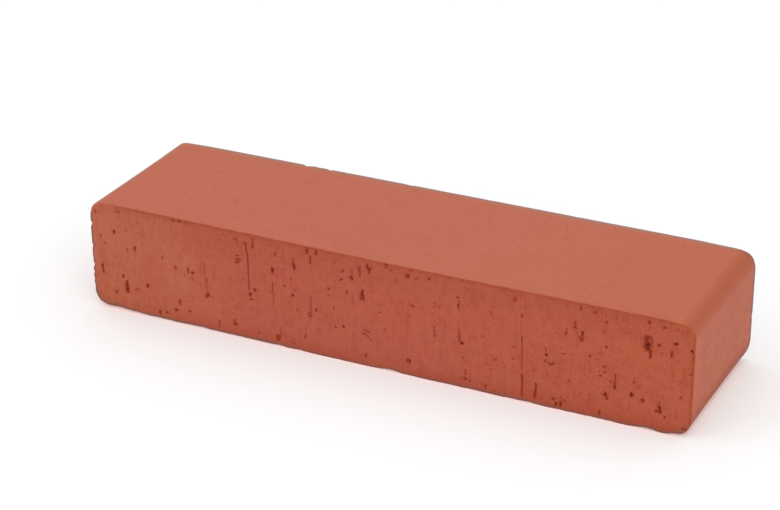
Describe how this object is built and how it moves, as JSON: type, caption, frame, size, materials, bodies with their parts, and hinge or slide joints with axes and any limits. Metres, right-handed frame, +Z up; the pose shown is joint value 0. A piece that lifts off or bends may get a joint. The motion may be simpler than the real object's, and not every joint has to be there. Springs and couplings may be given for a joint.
{
  "type": "clay brick",
  "caption": "Solid fired-clay brick, extruded and wire cut, with rounded die corners along its ends and torn, drag-marked cut faces.",
  "frame": {"origin": "middle of the bed, on the ground", "axes": "+X along the brick, +Y from the torn cut face to the other cut face, +Z up from the bed to the top"},
  "size_m": [0.24, 0.065, 0.0438],
  "materials": {
    "fired_clay": "matte"
  },
  "bodies": {
    "root": {"brick": "fired_clay"}
  },
  "joints": []
}
